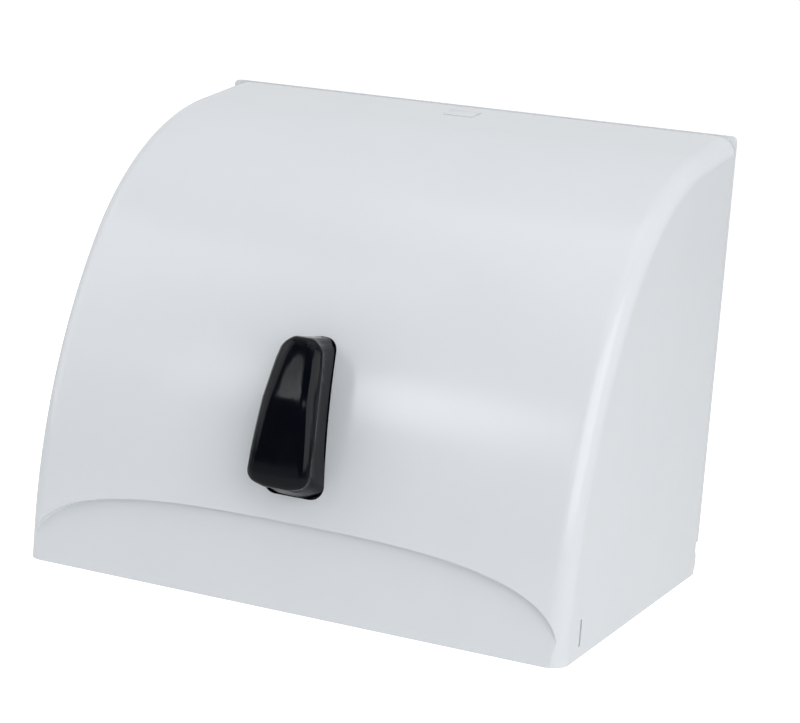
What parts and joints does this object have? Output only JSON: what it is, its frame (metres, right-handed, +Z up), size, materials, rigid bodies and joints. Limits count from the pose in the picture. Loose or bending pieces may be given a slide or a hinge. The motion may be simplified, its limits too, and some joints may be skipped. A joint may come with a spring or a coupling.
{
  "type": "paper towel dispenser",
  "caption": "Wall-mounted roll paper towel dispenser: curved white cover with a black push lever, a latch button, a tear bar and a geared feed roller inside.",
  "frame": {"origin": "middle of the wall plate's rear face, on the wall", "axes": "+X to the right seen from in front, +Y into the wall, +Z up"},
  "size_m": [0.33, 0.2377, 0.263],
  "materials": {
    "white_abs": "smooth, glossy pale grey-white moulding",
    "grey_abs": "satin grey moulding",
    "black_gloss_plastic": "glossy black moulding",
    "bright_steel": "bright drawn or rolled steel",
    "black_rubber": "matt ground rubber",
    "natural_acetal": "natural waxy acetal"
  },
  "bodies": {
    "chassis": {"wall_plate": "white_abs", "left_cheek": "white_abs", "right_cheek": "white_abs", "bottom_tray": "white_abs", "cheek_screw_1": "bright_steel", "cheek_screw_2": "bright_steel", "cheek_screw_3": "bright_steel", "cheek_screw_4": "bright_steel", "feed_bush_left": "natural_acetal", "feed_bush_right": "natural_acetal", "yoke_stud_left": "bright_steel", "yoke_stud_right": "bright_steel", "idler_stud": "bright_steel", "pinch_stud_left": "bright_steel", "pinch_stud_right": "bright_steel", "roll_arm_pin_left": "bright_steel", "roll_arm_pin_right": "bright_steel", "yoke_spring": "bright_steel", "pinch_spring_left": "bright_steel", "pinch_spring_right": "bright_steel"},
    "cover": {"front_cover": "white_abs", "tear_bar": "bright_steel", "hinge_pin_left": "bright_steel", "hinge_pin_right": "bright_steel", "lever_pin": "bright_steel"},
    "latch": {"latch_button": "white_abs"},
    "lever": {"lever": "black_gloss_plastic"},
    "yoke": {"yoke_sector_arm": "grey_abs", "yoke_arm": "grey_abs", "yoke_bar": "bright_steel"},
    "idler": {"idler_gear": "natural_acetal"},
    "pinion": {"drive_pinion": "natural_acetal"},
    "feed_roller": {"feed_shaft": "bright_steel", "feed_core": "grey_abs", "feed_sleeve_left": "black_rubber", "feed_sleeve_right": "black_rubber", "clutch_hub": "bright_steel", "shaft_clip_left": "bright_steel", "shaft_clip_right": "bright_steel"},
    "pinch_swing": {"pinch_arm_left": "grey_abs", "pinch_arm_right": "grey_abs", "pinch_axle": "bright_steel"},
    "pinch_rollers": {"pinch_roller_left": "natural_acetal", "pinch_roller_right": "natural_acetal"},
    "roll_arm_left": {"roll_arm_left": "white_abs"},
    "roll_arm_right": {"roll_arm_right": "white_abs"},
    "roll_hub_left": {"roll_hub_left": "grey_abs"},
    "roll_hub_right": {"roll_hub_right": "grey_abs"}
  },
  "joints": [
    {"name": "cover_hinge", "type": "hinge", "parent": "chassis", "child": "cover", "pos_m": [0, -0.012, -0.1235], "axis": [1, 0, 0], "range_deg": [0, 90]},
    {"name": "latch_slide", "type": "slide", "parent": "cover", "child": "latch", "axis": [0, 0, -1], "range_m": [0, 0.0045], "stiffness_N_per_m": 800},
    {"name": "lever_hinge", "type": "hinge", "parent": "cover", "child": "lever", "pos_m": [0, -0.1649, 0.0365], "axis": [1, 0, 0], "range_deg": [0, 10.5]},
    {"name": "yoke_hinge", "type": "hinge", "parent": "chassis", "child": "yoke", "pos_m": [0, -0.15, 0.0335], "axis": [1, 0, 0], "range_deg": [0, 10.5], "stiffness_Nm_per_rad": 1.2, "springref_deg": -14.32, "deforming": ["yoke_spring"]},
    {"name": "idler_spin", "type": "hinge", "parent": "chassis", "child": "idler", "pos_m": [0, -0.16684, -0.0671], "axis": [-1, 0, 0], "range_deg": [0, 78.75]},
    {"name": "pinion_spin", "type": "hinge", "parent": "chassis", "child": "pinion", "pos_m": [0, -0.17005, -0.08633], "axis": [1, 0, 0], "range_deg": [0, 126]},
    {"name": "feed_spin", "type": "hinge", "parent": "chassis", "child": "feed_roller", "pos_m": [0, -0.17005, -0.08633], "axis": [1, 0, 0], "continuous": true},
    {"name": "pinch_swing", "type": "hinge", "parent": "chassis", "child": "pinch_swing", "pos_m": [0, -0.199, -0.0595], "axis": [-1, 0, 0], "range_deg": [0, 6], "stiffness_Nm_per_rad": 1.5, "springref_deg": -17.19, "deforming": ["pinch_spring_left", "pinch_spring_right"]},
    {"name": "pinch_spin", "type": "hinge", "parent": "pinch_swing", "child": "pinch_rollers", "pos_m": [0, -0.19735, -0.08633], "axis": [-1, 0, 0], "continuous": true},
    {"name": "roll_arm_left_hinge", "type": "hinge", "parent": "chassis", "child": "roll_arm_left", "pos_m": [-0.101, -0.013, -0.0035], "axis": [0, 0, -1], "range_deg": [0, 9], "stiffness_Nm_per_rad": 1.2, "springref_deg": -11.46},
    {"name": "roll_arm_right_hinge", "type": "hinge", "parent": "chassis", "child": "roll_arm_right", "pos_m": [0.101, -0.013, -0.0035], "axis": [0, 0, 1], "range_deg": [0, 9], "stiffness_Nm_per_rad": 1.2, "springref_deg": -11.46},
    {"name": "roll_hub_left_spin", "type": "hinge", "parent": "roll_arm_left", "child": "roll_hub_left", "pos_m": [-0.1, -0.086, -0.0035], "axis": [1, 0, 0], "continuous": true},
    {"name": "roll_hub_right_spin", "type": "hinge", "parent": "roll_arm_right", "child": "roll_hub_right", "pos_m": [0.1, -0.086, -0.0035], "axis": [1, 0, 0], "continuous": true}
  ],
  "couplings": [
    {"joint": "lever_hinge", "follows": "yoke_hinge", "ratio": 1},
    {"joint": "idler_spin", "follows": "yoke_hinge", "ratio": 7.5},
    {"joint": "pinion_spin", "follows": "yoke_hinge", "ratio": 12},
    {"joint": "pinch_spin", "follows": "feed_spin", "ratio": 2}
  ]
}
